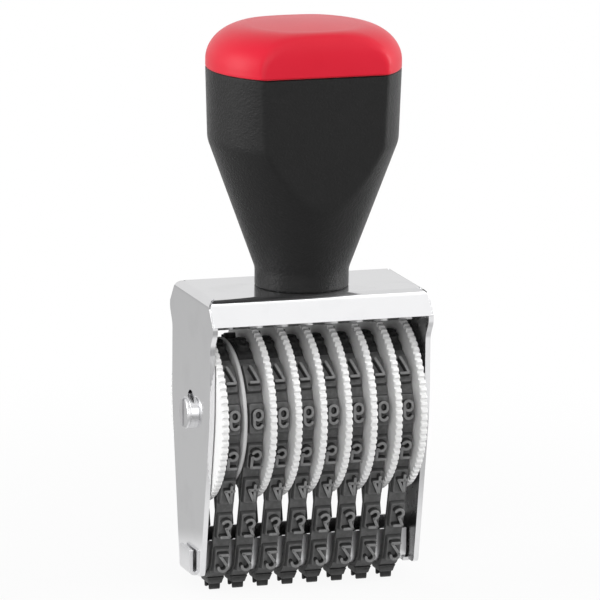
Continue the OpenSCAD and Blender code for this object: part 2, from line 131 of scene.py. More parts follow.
def patch(points, wrap_rows=False, wrap_columns=False):
    """Quads between neighbouring points of a grid (rows, columns, 3), round to the start where it wraps."""
    rows, columns = points.shape[:2]
    index = np.arange(rows * columns).reshape(rows, columns)
    if wrap_rows:
        index = np.vstack([index, index[:1]])
    if wrap_columns:
        index = np.hstack([index, index[:, :1]])
    quads = np.stack([index[:-1, :-1], index[1:, :-1], index[1:, 1:], index[:-1, 1:]], axis=-1)
    return points.reshape(-1, 3), quads.reshape(-1, 4)


def grid(x, y, z, wrap_rows=False, wrap_columns=False):
    """A patch whose x, y and z are spread over one grid of rows and columns."""
    return patch(np.stack(np.broadcast_arrays(x, y, z), axis=-1), wrap_rows, wrap_columns)


def around(n):
    """n angles, evenly round a circle."""
    return np.linspace(0, 2 * np.pi, n, endpoint=False)


def piece(name, patches, finish, nodes, body="root", thick=0.0, edge=0.0, wear_and_shade=None, inside=None):
    """One object from its patches.

    thick makes a sheet solid, with the finishes of inside on its back and rim. edge rounds its sharp edges,
    and the last argument gives a value per point: rubbed paler above zero, old ink and painted shade below.
    """
    starts = np.cumsum([0] + [len(points) for points, _ in patches])
    points = np.concatenate([points for points, _ in patches])
    quads = np.concatenate([quads + start for (_, quads), start in zip(patches, starts)])
    mesh = bpy.data.meshes.new(name)
    mesh.from_pydata((points * MM).tolist(), [], quads.tolist())
    if wear_and_shade is not None:
        mesh.attributes.new("wear_and_shade", "FLOAT", "POINT").data.foreach_set("value", wear_and_shade.astype(np.float32))
    shell = bmesh.new()
    shell.from_mesh(mesh)
    bmesh.ops.remove_doubles(shell, verts=shell.verts, dist=MERGE * MM)
    bmesh.ops.dissolve_degenerate(shell, edges=shell.edges, dist=MERGE * MM / 2)
    bmesh.ops.recalc_face_normals(shell, faces=shell.faces)
    shell.to_mesh(mesh)
    shell.free()
    mesh.polygons.foreach_set("use_smooth", np.ones(len(mesh.polygons), bool))
    if not edge:
        mesh.set_sharp_from_angle(angle=SHARP)
    made = new_object(name, mesh)
    if thick:
        solid = made.modifiers.new("sheet", "SOLIDIFY")
        solid.thickness, solid.offset = thick * MM, 0.0
        solid.material_offset, solid.material_offset_rim = (1, 2) if inside else (0, 0)
    if edge:
        bevel = made.modifiers.new("edges", "BEVEL")
        bevel.width, bevel.segments, bevel.limit_method = edge * MM, 3, "ANGLE"
        bevel.angle_limit, bevel.harden_normals = SHARP, True
    for material in [finish, *(inside or [])]:
        mesh.materials.append(material)
    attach(made, body)
    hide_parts(*nodes)
    return made


def unit(v):
    """v with length 1 along its last axis."""
    return v / np.linalg.norm(v, axis=-1, keepdims=True)


def rounded(corners, radii, steps=6):
    """A path through corners. Each inner corner becomes an arc of its radius r that touches both sides.

    It starts r / tan(half the corner's angle) from the corner, and its centre is r / sin(half) from it.
    """
    corners = np.asarray(corners, float)
    path = [corners[:1]]
    for before, corner, after, radius in zip(corners, corners[1:], corners[2:], radii):
        back, on = unit(before - corner), unit(after - corner)
        half = np.arccos(np.clip(back @ on, -1, 1)) / 2
        bend = np.pi - 2 * half
        centre = corner + unit(back + on) * radius / np.sin(half)
        start = corner + back * radius / np.tan(half) - centre
        end = corner + on * radius / np.tan(half) - centre
        t = np.linspace(0, 1, steps + 1)[:, None]
        path.append(centre + (np.sin((1 - t) * bend) * start + np.sin(t * bend) * end) / np.sin(bend))
    return np.concatenate(path + [corners[-1:]])


def subdivide(path, step):
    """The same path with extra points, so that no two are further apart than step."""
    gaps = np.linalg.norm(np.diff(path, axis=0), axis=1)
    counts = np.maximum(np.ceil(gaps / step).astype(int), 1)
    at = np.concatenate([i + np.arange(n) / n for i, n in enumerate(counts)] + [[len(path) - 1.0]])
    return np.stack([np.interp(at, np.arange(len(path)), column) for column in path.T], axis=1)


def revolve(profile, x):
    """A closed profile of (along, r) carried round the axle: (x + along, r cos a, AXLE_Z + r sin a)."""
    along, radius = profile.T[:, :, None]
    angle = around(RING_TURNS)
    return grid(x + along, radius * np.cos(angle), AXLE_Z + radius * np.sin(angle), True, True)


# %% [markdown]
# ## Writing materials as sums
# `Wire` wraps an output socket, so that `1 - dust * 0.3` adds the Math nodes it needs. Every other node
# comes from `node`, which takes the node's type, its settings and what its sockets get.

# %% Shader helpers
class Wire:
    """One output socket. The operators add Math nodes and return their outputs."""

    def __init__(self, finish, socket):
        self.finish = finish
        self.socket = socket

    def math(self, operation, *values):
        return self.finish.node("Math", {"operation": operation}, dict(enumerate(values)))

    def __add__(self, other):
        return self.math("ADD", self, other)

    def __sub__(self, other):
        return self.math("SUBTRACT", self, other)

    def __rsub__(self, other):
        return self.math("SUBTRACT", other, self)

    def __mul__(self, other):
        return self.math("MULTIPLY", self, other)

    __radd__ = __add__
    __rmul__ = __mul__

    def smooth(self, low, high):
        """0 below low, 1 above high, with a smooth step between."""
        settings = {"interpolation_type": "SMOOTHSTEP"}
        return self.finish.node("MapRange", settings, {"Value": self, "From Min": low, "From Max": high})


class Nodes:
    """A node tree under construction."""

    def __init__(self, tree):
        self.tree = tree

    def node(self, kind, settings=None, inputs=None, out=0):
        """Adds a node, sets its settings first and then its sockets, and returns one output as a Wire."""
        made = self.tree.nodes.new("ShaderNode" + kind)
        for setting, value in (settings or {}).items():
            setattr(made, setting, value)
        for socket, value in (inputs or {}).items():
            self.feed(made.inputs[socket], value)
        return Wire(self, made.outputs[out])

    def feed(self, socket, value):
        """Links a Wire to the socket, or sets the socket to a constant."""
        if isinstance(value, Wire):
            self.tree.links.new(value.socket, socket)
        else:
            socket.default_value = value


class Finish(Nodes):
    """A material under construction: its Principled shader and the nodes that feed it."""

    def __init__(self, name, **constants):
        self.material = bpy.data.materials.new(name)
        self.material.use_nodes = True
        super().__init__(self.material.node_tree)
        self.shader = self.tree.nodes["Principled BSDF"]
        for socket, value in constants.items():
            self.shader.inputs[socket.replace("_", " ")].default_value = value
        self.place = self.node("TexCoord", out="Object")

    def noise(self, size, detail=2.0, stretch=(1.0, 1.0, 1.0)):
        """Soft noise with spots of about size millimetres, longer along an axis whose stretch is small."""
        spot = self.node("Mapping", {"vector_type": "POINT"}, {"Vector": self.place, "Scale": stretch})
        return self.node("TexNoise", None, {"Vector": spot, "Scale": 1 / (size * MM), "Detail": detail})

    def cells(self, size):
        """Distance to the nearest of the cells' centres, cells being about size millimetres across."""
        return self.node("TexVoronoi", {"feature": "SMOOTH_F1"}, {
            "Vector": self.place, "Scale": 1 / (size * MM), "Smoothness": 0.4})

    def blend(self, amount, first, second):
        """The colour first where amount is 0 and second where it is 1."""
        return self.node("Mix", {"data_type": "RGBA"}, {0: amount, 6: first, 7: second}, out=2)

    def bump(self, height, depth, strength=1.0):
        """Raises the shading by depth millimetres where height is 1."""
        return self.node("Bump", None, {"Height": height, "Distance": depth * MM, "Strength": strength})

    def done(self, **wires):
        """Feeds the shader's sockets and returns the material."""
        for socket, value in wires.items():
            self.feed(self.shader.inputs[socket.replace("_", " ")], value)
        return self.material


def grey(value, tint=(1.0, 1.0, 1.0)):
    """A neutral colour of that linear value, tinted a little."""
    return (value * tint[0], value * tint[1], value * tint[2], 1.0)


# %% [markdown]
# ## The finishes
# Bright nickel is a metal with very low roughness. What makes it look real is that the sheet isn't quite
# flat and that fingers and rolling leave faint streaks, so a long, shallow noise bends the reflections and
# another one dulls them here and there.

# %% Nickel plate and steel
COOL = (1.0, 1.0, 1.012)


def nickel_plate():
    f = Finish("bright_nickel_plate", Metallic=1.0)
    streaks = f.noise(1.4, 3.0, (1.0, 1.0, 0.12))
    waves = f.noise(9.0, 1.0)
    smears = f.noise(6.0, 4.0).smooth(0.45, 0.75)
    return f.done(
        Base_Color=f.blend(smears * 0.5, grey(0.85, COOL), grey(0.78, COOL)),
        Roughness=0.07 + smears * 0.06 + streaks * 0.03,
        Normal=f.bump(waves + streaks * 0.03, 0.05, 0.6),
    )


def metal(name, tones, roughness, grain, strength, wander=None):
    """A plainer metal. Its grey wanders between two tones, and its grain sets the roughness and the relief."""
    f = Finish(name, Metallic=1.0)
    relief = f.noise(*grain)
    spots = f.noise(*wander) if wander else relief
    return f.done(
        Base_Color=f.blend(spots, grey(tones[0], COOL), grey(tones[1], COOL)),
        Roughness=roughness[0] + relief * roughness[1],
        Normal=f.bump(relief, 0.01, strength),
    )


nickel = nickel_plate()
satin = metal("satin_nickel", (0.66, 0.74), (0.28, 0.12), (0.3, 2.0, (0.1, 1.0, 1.0)), 0.4, (4.0, 3.0))
# A punched rim is a little duller than the faces. The inner side is a dark copy of the nickel: painted shade
# inside the folded sheet and the foot's trough
cut_nickel = metal("cut_nickel_edge", (0.74, 0.82), (0.06, 0.1), (0.35, 3.0, (1.0, 1.0, 0.5)), 0.3)
shaded_nickel = metal("shaded_inner_nickel", (0.26, 0.36), (0.22, 0.12), (2.5, 3.0), 0.3)
steel = metal("plated_steel", (0.5, 0.62), (0.16, 0.12), (0.25, 2.0, (4.0, 1.0, 1.0)), 0.5, (1.5, 3.0))

# %% [markdown]
# The plastics differ by their moulds. The black handle has a fine leather grain, so it catches the light
# softly, and the red cap has a finer spark-eroded grain. The wheels are a smooth white acetal, and the disc
# between the bands is a greyer nylon. Each gets a bump from cells or noise of the right size, because a
# flat colour with one roughness looks like paint on a screen.

# %% Plastics
BLACK = grey(0.004, (1.0, 1.0, 1.02))
RED = (0.55, 0.004, 0.02, 1.0)
RED_WORN = (0.6, 0.009, 0.029, 1.0)


def grained_black():
    f = Finish("grained_black_plastic", Specular_IOR_Level=0.26, Sheen_Weight=0.3, Sheen_Roughness=0.25)
    grain = f.cells(0.5)
    fine = f.noise(0.2, 2.0)
    return f.done(
        Base_Color=f.blend(f.noise(7.0, 3.0), BLACK, grey(0.006)),
        Roughness=0.44 + grain * 0.1,
        Normal=f.bump(grain * 0.7 + fine, 0.1, 0.9),
    )


def grained_red():
    f = Finish("grained_red_plastic", Specular_IOR_Level=0.22, Sheen_Weight=0.16, Sheen_Roughness=0.4)
    fine = f.noise(0.14, 2.0)
    return f.done(
        Base_Color=f.blend(f.noise(9.0, 2.0), RED, RED_WORN),
        Roughness=0.36 + fine * 0.12,
        Normal=f.bump(fine, 0.03, 0.5),
    )


def smooth_plastic(name, first, second, haze_size, roughness, grain_size):
    """A plastic from a polished mould, with a faint haze in its colour and gloss."""
    f = Finish(name)
    haze = f.noise(haze_size, 3.0)
    return f.done(
        Base_Color=f.blend(haze, first, second),
        Roughness=roughness + haze * 0.1,
        Normal=f.bump(f.noise(grain_size, 2.0), 0.02, 0.4),
    )


black_plastic, red_plastic = grained_black(), grained_red()
white_plastic = smooth_plastic("white_acetal", grey(0.81), grey(0.75, (1.0, 0.998, 0.99)), 3.0, 0.38, 0.5)
nylon = smooth_plastic("grey_nylon", grey(0.5), grey(0.56), 2.0, 0.5, 0.4)

# %% [markdown]
# The rubber is dusty grey. Its raised edges and the figures' tops rub against the inking pad and go paler.
# The corners at their feet are darker: partly old ink, partly painted shade. One figure is painted dark all
# over as painted shade. So the band's mesh carries a value per point, and the material mixes a lighter grey
# in where it is high and a nearly black one where it is below zero.

# %% Rubber
def dusty_rubber():
    f = Finish("grey_rubber", Specular_IOR_Level=0.35)
    wear_and_shade = f.node("Attribute", {"attribute_name": "wear_and_shade"}, out="Fac")
    dust = f.noise(0.9, 4.0)
    grain = f.noise(0.12, 2.0)
    tone_marks = (wear_and_shade * (0.6 + dust * 0.6)).smooth(0.15, 0.95)
    # Below zero the rubber goes nearly black: old ink and painted shade at the feet of pads and figures, and
    # painted shade all over one figure
    ink_and_shade = (wear_and_shade * (-0.5 - dust)).smooth(0.05, 0.7)
    base = f.blend(ink_and_shade, f.blend(dust.smooth(0.35, 0.7), grey(0.085), grey(0.115)), grey(0.018))
    return f.done(
        Base_Color=f.blend(tone_marks, base, grey(0.23)),
        Roughness=0.62 + dust * 0.15,
        Normal=f.bump(grain + dust * 0.5, 0.02, 0.6),
    )


rubber = dusty_rubber()
print("finishes:", sorted(m.name for m in bpy.data.materials if m.use_nodes))

# %% [markdown]
# ## The handle
# Both shells are turned forms cut by a front and a rear flat. In polar form a section is the smaller of two
# distances: the turned radius R, and the flat's distance over |sin of the angle|. A smooth minimum of the
# two leaves a rounded edge where they meet, as a moulded part has.

# %% Handle sections
HANDLE_HIGH = box_mm("handle_body")[1]
CAP_HIGH = box_mm("handle_cap")[1]
GRIP_R = HANDLE_HIGH[0]
FLAT = HANDLE_HIGH[1]
BODY_H = HANDLE_HIGH[2] - TOP_Z
CAP_H = CAP_HIGH[2] - HANDLE_HIGH[2]
HANDLE_TURNS = 480
HANDLE_STEP = 0.5


def smooth_min(a, b, width):
    """The smaller of a and b, rounded where they differ by less than width."""
    near = np.maximum(width - np.abs(a - b), 0) / width
    return np.minimum(a, b) - near * near * width / 4


def flatted(radius, flat, height, rounding):
    """Sections (r cos a, r sin a) at each height, with r(a) = smooth_min(radius, flat / |sin a|)."""
    angle = around(HANDLE_TURNS)
    to_flat = flat[:, None] / np.maximum(np.abs(np.sin(angle)), 1e-4)
    r = smooth_min(radius[:, None], to_flat, rounding[:, None])
    return grid(r * np.cos(angle), r * np.sin(angle), height[:, None], wrap_columns=True)


# %% Handle body
NECK_R = 9.0
NECK_H = 3.4
CONE_R = 18.2
CONE_TOP = 28.3
NECK_BEND_R = 3.5
CONE_BEND_R = 6.0
BODY_EDGE = 0.35
FLAT_EDGE = 0.45


def handle_body():
    """The radius goes up the neck, out along the cone and up the grip. The flats stand at y = +FLAT, -FLAT."""
    profile = rounded(
        [[0, 0], [NECK_R, 0], [NECK_R, NECK_H], [CONE_R, CONE_TOP], [GRIP_R, BODY_H], [0, BODY_H]],
        [BODY_EDGE, NECK_BEND_R, CONE_BEND_R, BODY_EDGE],
    )
    radius, height = subdivide(profile, HANDLE_STEP).T
    flat = FLAT - np.maximum(height - BODY_H + BODY_EDGE, 0)
    flat = np.where(height > BODY_H - HAIR, np.minimum(FLAT - BODY_EDGE, radius), flat)
    rounding = FLAT_EDGE * np.clip(radius / NECK_R, 0.01, 1)
    return flatted(radius, flat, TOP_Z + height, rounding)


body_shell = piece("handle_body_shell", [handle_body()], black_plastic, ["handle_body"])
print(f"handle body {BODY_H:.1f} mm tall, {len(body_shell.data.polygons)} faces")

# %% [markdown]
# The cap starts with the body's section at the parting line. Above it, the turned radius follows a quarter
# ellipse inwards and the flats follow a fuller curve, (1 - t^n)^(1/n), so a flat stays upright longer and
# ends in a soft shoulder. The edge between the two widens towards the top.

# %% Handle cap
CAP_SIDE = 1.4
CROWN_R = 0.55
CROWN_DROP = 0.3
CROWN_STEPS = 40
DOME_STEPS = 23
CAP_EDGE = 0.25
SHOULDER_Z = 1.4
SHOULDER_Y = 9.6
SHOULDER_FULL = 2.8
SHOULDER_SOFT = 1.3


def handle_cap():
    """The radius is GRIP_R, then GRIP_R * (CROWN_R + (1 - CROWN_R) cos u) for u from 0 to 90 degrees.

    The flats stand at y = SHOULDER_Y + (FLAT - SHOULDER_Y) * (1 - t^n)^(1/n), with t from 0 at SHOULDER_Z to
    1 at the crown. A shallow dome closes the top.
    """
    lift = np.linspace(0, np.pi / 2, CROWN_STEPS + 1)
    crown_z = CAP_H - CROWN_DROP
    side = rounded([[0, 0], [GRIP_R, 0], [GRIP_R, CAP_SIDE]], [CAP_EDGE], 3)
    crown_r = GRIP_R * (CROWN_R + (1 - CROWN_R) * np.cos(lift))
    crown = np.stack([crown_r, CAP_SIDE + (crown_z - CAP_SIDE) * np.sin(lift)], axis=1)
    inward = np.linspace(1, 0, DOME_STEPS + 1)[1:]
    dome = np.stack([GRIP_R * CROWN_R * inward, CAP_H - CROWN_DROP * inward ** 2], axis=1)
    radius, height = subdivide(np.concatenate([side, crown, dome]), HANDLE_STEP).T
    rise = np.clip((height - SHOULDER_Z) / (crown_z - SHOULDER_Z), 0, 1)
    flat = SHOULDER_Y + (FLAT - SHOULDER_Y) * (1 - rise ** SHOULDER_FULL) ** (1 / SHOULDER_FULL)
    on_dome = SHOULDER_Y * np.maximum(radius / (GRIP_R * CROWN_R), 0.001)
    flat = np.where(height > crown_z - HAIR, on_dome, flat)
    flat = flat - np.maximum(CAP_EDGE - height, 0) * (radius > GRIP_R - CAP_EDGE)
    rounding = FLAT_EDGE + SHOULDER_SOFT * np.clip(height / CAP_H, 0, 1)
    rounding = np.minimum(rounding, np.maximum(radius * 0.25, 0.001))
    return flatted(radius, flat, HANDLE_HIGH[2] + height, rounding)


cap_shell = piece("handle_cap_shell", [handle_cap()], red_plastic, ["handle_cap"])
print(f"cap {CAP_H:.1f} mm tall, {len(cap_shell.data.polygons)} faces")

# %% [markdown]
# ## The folded frame
# The frame is one sheet, folded down at both sides and at the front and rear. So it is made as the sheet's
# middle surface: a middle strip that runs from the front flange over the top to the rear one, and on each
# side a strip that bends down into a side plate. The depth of that strip is a function of height, and near
# a corner it dips round the relief hole that lets three folds meet. The flanges lap a little over the edges
# of the side plates. Solidify then gives the sheet its thickness.

# %% Frame outlines
SHEET = 1.0
FOLD_R = 1.6
SIDE_Z = FRAME_LOW[2]
HALF_W = FRAME_HIGH[0] - SHEET / 2
MID_Z = TOP_Z - SHEET / 2
TOP_DEPTH = 20.8
SHOULDER_DEPTH = 2 * FRAME_HIGH[1]
SHOULDER_DROP = 4.6
WAIST_DEPTH = 24.2
STEP_START = 0.5
WAIST_DROP = 5.0
TOE_DEPTH = 13.4
TOE_R = 1.4
TAPER_H = 31.5
TAPER_SOFT = 0.7
FLANGE_BEND_R = 2.0
FLANGE_LAP = 0.15
LAP_START = 0.1
FLANGE_INSET = 0.3
LAP_FADE = 1.5
RELIEF_R = 0.14
RELIEF_BACK = 0.16
RELIEF_SIDE = 0.02
PATH_STEP = 0.35
FOLD_STEP = 0.08
BEND_R = FOLD_R - SHEET / 2
run = (SHOULDER_DEPTH - TOP_DEPTH) / 2
flange_normal = unit(np.array([SHOULDER_DROP, run]))
flange_tip = np.array([SHOULDER_DEPTH / 2, TOP_Z - SHOULDER_DROP]) - flange_normal * SHEET / 2
flange_corner = flange_tip[0] - (MID_Z - flange_tip[1]) * run / SHOULDER_DROP
flange_path = rounded([[0, MID_Z], [flange_corner, MID_Z], flange_tip], [FLANGE_BEND_R], 8)
flange_start = flange_path[1, 0]
relief_x = HALF_W - BEND_R - RELIEF_SIDE + RELIEF_R
relief_y = flange_start - RELIEF_BACK
half_path = subdivide(flange_path, PATH_STEP)
strip_rows = np.concatenate([half_path[::-1] * [-1, 1], half_path[1:]])
on_top = np.abs(strip_rows[:, 0]) <= flange_start + HAIR
top_spread = strip_rows[on_top, 0] / flange_start


def plate_depth(z):
    """Half the depth of a side plate at a height: a slope under the top, a smooth step to the waist, a taper.

    The slope stays a little behind the flange, which laps over it.
    """
    drop = TOP_Z - z
    slope = TOP_DEPTH / 2 + run * np.clip(drop / SHOULDER_DROP, 0, 1)
    step = np.clip((drop - SHOULDER_DROP - STEP_START) / (WAIST_DROP - STEP_START), 0, 1)
    waist = (SHOULDER_DEPTH - (SHOULDER_DEPTH - WAIST_DEPTH) * (1 - np.cos(np.pi * step)) / 2) / 2
    taper = (WAIST_DEPTH - TOE_DEPTH) / 2 * (1 - (z - SIDE_Z) / TAPER_H)
    curved = (taper + TAPER_SOFT) ** 2 / (4 * TAPER_SOFT)
    soft = np.where(np.abs(taper) < TAPER_SOFT, curved, np.maximum(taper, 0))
    lap = FLANGE_LAP * np.clip((SHOULDER_DROP + LAP_FADE - drop) / LAP_FADE, 0, 1)
    return np.where(drop < SHOULDER_DROP, slope, waist - soft) - lap


def fold_depth(z):
    """Half the depth of the folded corner, whose outer face ends behind the flange's.

    Where the flange itself still bends, that face is an arc: y = flange_start + sqrt(R^2 - (R - drop)^2).
    """
    lean = np.clip((z - MID_Z + BEND_R) / BEND_R, 0, 1)
    drop = TOP_Z - z - SHEET / 2 * lean
    outer_r = FLANGE_BEND_R + SHEET / 2
    arc = flange_start + np.sqrt(np.maximum(outer_r ** 2 - (outer_r - drop) ** 2, 0))
    arc = arc - FLANGE_LAP * np.clip(drop / LAP_START, 0, 1)
    return np.where(drop < outer_r * (1 - flange_normal[1]), arc, plate_depth(TOP_Z - drop))


def relief_dip(x, depth):
    """The depth, held back to relief_y - sqrt(R^2 - (x - relief_x)^2) round the sheet's relief hole."""
    chord = np.sqrt(np.maximum(RELIEF_R ** 2 - (np.abs(x) - relief_x) ** 2, 0))
    return np.where(chord > 0, np.minimum(depth, relief_y - chord), depth)


# %% Frame top and flanges
def top_strip():
    """Carries the flange path along X. Its ends follow the side folds' round, R - sqrt(R^2 - (R - drop)^2)."""
    drop = (MID_Z - strip_rows[:, 1]) * (1 + SHEET / 2 / FLANGE_BEND_R)
    inset = FOLD_R - np.sqrt(FOLD_R ** 2 - np.clip(FOLD_R - drop, 0, FOLD_R) ** 2)
    width = np.where(on_top, relief_x - RELIEF_R, FRAME_HIGH[0] - FLANGE_INSET - inset)
    columns = np.linspace(-1, 1, 25)
    return grid(width[:, None] * columns, strip_rows[:, :1], strip_rows[:, 1:])


def side_strip(side):
    """Carries the folded corner's path front to back, between the top's edge and the side plate."""
    arch = rounded([[relief_x - RELIEF_R, MID_Z], [HALF_W, MID_Z], [HALF_W, MID_Z - 2]], [BEND_R], 16)
    x, z = subdivide(arch[:-1], FOLD_STEP).T
    depth = relief_dip(x, fold_depth(z))
    return grid(side * x[:, None], depth[:, None] * top_spread, z[:, None])


# %% [markdown]
# A side plate is a ring: its inner edge is the slot for the axle's screw and its outer edge is the plate's
# outline, both listed by their angle as seen from the slot. Two rings in between keep a narrow row of faces
# at each edge, which gives the Bevel modifier clean edges to round.

# %% Side plates
SLOT_W = 4.2
SLOT_UP = 2.3
SLOT_DOWN = 0.8
FOOT_LOW, FOOT_HIGH = box_mm("foot_channel")
FOOT_T = 0.8
TAB_W = 6.6
NOTCH_Y = TAB_W / 2 + 0.3
NOTCH_Z = FOOT_LOW[2] + FOOT_T
NOTCH_FLARE = 0.15
NOTCH_R = 0.02
TOE_SLANT = 0.25
EDGE_ROW = 0.5
OUTLINE_STEP = 0.5
FRAME_EDGE = 0.26


def plate_outline():
    """Half the outline from the fold down to the foot's notch, mirrored, and the fold's points on top."""
    fold_z = MID_Z - BEND_R
    shoulder_z = TOP_Z - SHOULDER_DROP
    z = np.concatenate([np.linspace(fold_z, shoulder_z, 4), np.linspace(shoulder_z, SIDE_Z + TOE_R, 60)[1:]])
    edge = np.stack([plate_depth(z), z], axis=1)
    toe = [edge[-1, 0] - TOE_SLANT, SIDE_Z]
    notch = [[NOTCH_Y + NOTCH_FLARE, SIDE_Z], [NOTCH_Y, NOTCH_Z], [0, NOTCH_Z]]
    low = rounded([edge[-1], toe, *notch], [TOE_R * 0.9, NOTCH_R, NOTCH_R], 6)
    half = np.concatenate([edge, subdivide(low[1:], OUTLINE_STEP)])
    fold = np.stack([top_spread * edge[0, 0], np.full(len(top_spread), fold_z)], axis=1)
    return np.concatenate([fold, half[1:-1], (half * [-1, 1])[:0:-1]])


def slot_ring(angle):
    """The slot's edge in each direction from its centre: two straight sides and two half circles."""
    turns = np.linspace(-np.pi, np.pi, 721)
    y, z = SLOT_W / 2 * np.cos(turns), SLOT_W / 2 * np.sin(turns)
    z = z + np.where(turns > 0, SLOT_UP, -SLOT_DOWN)
    seen = np.arctan2(z, y)
    order = np.argsort(seen)
    return np.stack([np.interp(angle, seen[order], c[order], period=2 * np.pi) for c in (y, z)], axis=1)


def side_plate(side):
    """Rows from the slot's edge out to the plate's outline, in the plane of the side."""
    outer = plate_outline() - [0, AXLE_Z]
    inner = slot_ring(np.arctan2(outer[:, 1], outer[:, 0]))
    rows = np.stack([inner, inner + EDGE_ROW * unit(inner), outer - EDGE_ROW * unit(outer), outer])
    return grid(side * HALF_W, rows[..., 0], rows[..., 1] + AXLE_Z, wrap_columns=True)


folded = [top_strip()] + [make(side) for side in (-1, 1) for make in (side_strip, side_plate)]
# Its inner side takes the dark copy of the nickel, as painted shade
frame_sheet = piece("frame_sheet", folded, nickel, ["frame"], thick=SHEET, edge=FRAME_EDGE,
                    inside=[shaded_nickel, cut_nickel])
print(f"frame: slot {SLOT_W} mm wide, {len(frame_sheet.data.polygons)} faces before its modifiers")

# %% [markdown]
# ## The foot
# The bands turn round a channel whose rear wall is taller than its front one. A tongue at each end passes
# under the side plate and is folded up outside it.

# %% Foot channel
FRONT_WALL = 6.65
FOOT_R = 2.4
TAB_TOP = 5.05
TAB_INNER_R = 0.3
TAB_ROOT = 1.0
WALL_GAP = 0.3
WALL_EDGE = 0.12
TAB_EDGE = 0.2


def foot_trough():
    """Carries the channel's section along X."""
    y, z = FOOT_HIGH[1] - FOOT_T / 2, FOOT_LOW[2] + FOOT_T / 2
    turn_r = FOOT_R - FOOT_T / 2
    path = rounded([[-y, FOOT_LOW[2] + FRONT_WALL], [-y, z], [y, z], [y, FOOT_HIGH[2]]], [turn_r, turn_r], 8)
    x = np.linspace(-1, 1, 3) * (HALF_W - SHEET / 2 - WALL_GAP)
    return grid(x, path[:, :1], path[:, 1:])


def foot_tab(side):
    """Carries the folded tongue's section from front to back."""
    x, z = FOOT_HIGH[0] - FOOT_T / 2, FOOT_LOW[2] + FOOT_T / 2
    corners = [[HALF_W - SHEET / 2 - TAB_ROOT, z], [x, z], [x, FOOT_LOW[2] + TAB_TOP]]
    path = rounded(corners, [TAB_INNER_R + FOOT_T / 2], 8)
    y = np.linspace(-1, 1, 3) * TAB_W / 2
    return grid(side * path[:, :1], y, path[:, 1:])


# Inside the trough, the dark copy of the nickel is painted shade
piece("foot_sheet", [foot_trough()], satin, ["foot_channel"], thick=FOOT_T, edge=WALL_EDGE,
      inside=[shaded_nickel, cut_nickel])
piece("foot_tabs", [foot_tab(-1), foot_tab(1)], satin, ["foot_channel"], thick=FOOT_T,
      edge=TAB_EDGE)
print(f"foot: tabs {TAB_W} mm wide at x = {FOOT_LOW[0]:.1f} and {FOOT_HIGH[0]:.1f} mm")

# %% [markdown]
# ## Axle, washers and screws
# Rings are closed profiles turned about the axle. A slotted head isn't round about anything, so its top is
# ruled by chords: each chord lies along the slot, and the height depends on how far the chord is from the
# slot's middle.

# %% Axle and rings
AXLE_BORE_R = 2.0
BORE_R = 3.06
RING_TURNS = 128
RING_EDGE = 0.35
RING_EDGE_SHARE = 0.42


def ring_profile(low, high, inner, outer, edge):
    """A rectangle with rounded corners in the plane of (distance along the axle, radius)."""
    middle = (low + high) / 2
    corners = [[middle, inner], [low, inner], [low, outer], [high, outer], [high, inner], [middle, inner]]
    return rounded(corners, [edge] * 4, 4)[:-1]


def axle_ring(node, inner, finish):
    """A ring that fills the node's box along the axle, with its edges rounded as far as its length allows."""
    low, high = box_mm(node)
    length = high[0] - low[0]
    profile = ring_profile(0, length, inner, high[1], min(RING_EDGE, length * RING_EDGE_SHARE))
    return piece(node + "_turned", [revolve(profile, low[0])], finish, [node])


axle_ring("axle_rod", AXLE_BORE_R, steel)
axle_ring("end_shim", BORE_R, steel)
axle_ring("end_spacer", BORE_R, white_plastic)
axle_ring("separator_disc", BORE_R, nylon)

# %% Slotted screws
DRIVER_W = 1.2
DRIVER_D = 0.7
DRIVER_ROWS = np.array([-0.05, 0.04, 0.08])
HEAD_ROUND = 0.35
LINE_DROP = 0.12
LINE_DEPTH = 0.12
SHANK_START = 0.2
SHANK_CHAMFER = 0.4
HEAD_H = 1.5
SCREW_R = 1.95
HANDLE_HEAD_H = 2.2
HANDLE_SCREW_R = 2.4
WASHER_BORE_R = 2.5
WASHER_EDGE = 0.15


def slotted_head(radius, height, edge):
    """Chords across the head: row x runs along the slot, y = u * sqrt(radius^2 - x^2) for u from -1 to 1.

    The height is less in the slot and at the rounded edge, and a fine line is turned into the rim below it.
    """
    lip = DRIVER_W / 2
    across = np.unique(np.concatenate([np.linspace(lip, radius, 14), lip + DRIVER_ROWS]))
    across = np.concatenate([-across[::-1], across])
    floor = np.where(np.abs(across) < lip - 0.01, height - DRIVER_D, height)
    along = np.sin(np.linspace(-np.pi / 2, np.pi / 2, 33))
    chord = np.sqrt(np.maximum(radius ** 2 - across ** 2, 0))
    y = along * chord[:, None]
    from_rim = radius - np.hypot(y, across[:, None])
    drop = edge - np.sqrt(np.maximum(edge ** 2 - np.maximum(edge - from_rim, 0) ** 2, 0))
    z = np.minimum(height - drop, floor[:, None])
    top = np.stack(np.broadcast_arrays(across[:, None], y, z), axis=-1)
    rim = np.concatenate([top[:, -1], top[::-1, 0]])
    foot = rim * [1, 1, 0]
    line = height - edge - LINE_DROP * np.array([1.0, 2.0])
    turned = [foot * (1 - LINE_DEPTH / radius) + [0, 0, line[0]], foot + [0, 0, line[1]]]
    return [patch(top), patch(np.stack([rim, *turned, foot, foot * 0]), wrap_columns=True)]


def shank(radius, reach):
    """A plain rod (r cos a, r sin a, z) along -Z, from just inside the head to a chamfer at its end."""
    angle = around(48)
    r = np.array([0.0, radius, radius, radius - SHANK_CHAMFER, 0.0])[:, None]
    z = np.array([SHANK_START, SHANK_START, SHANK_CHAMFER - reach, -reach, -reach])[:, None]
    return grid(r * np.cos(angle), r * np.sin(angle), z, wrap_columns=True)


def slotted_screw(node, origin, axes, radius, reach, head_r, head_h, finish):
    """The screw built along +Z and then turned: axes holds where its own X, Y and Z point."""
    parts = slotted_head(head_r, head_h, head_h * HEAD_ROUND) + [shank(radius, reach)]
    turned = [(points @ np.array(axes, float) + origin, quads) for points, quads in parts]
    return piece(node + "_slotted", turned, finish, [node])


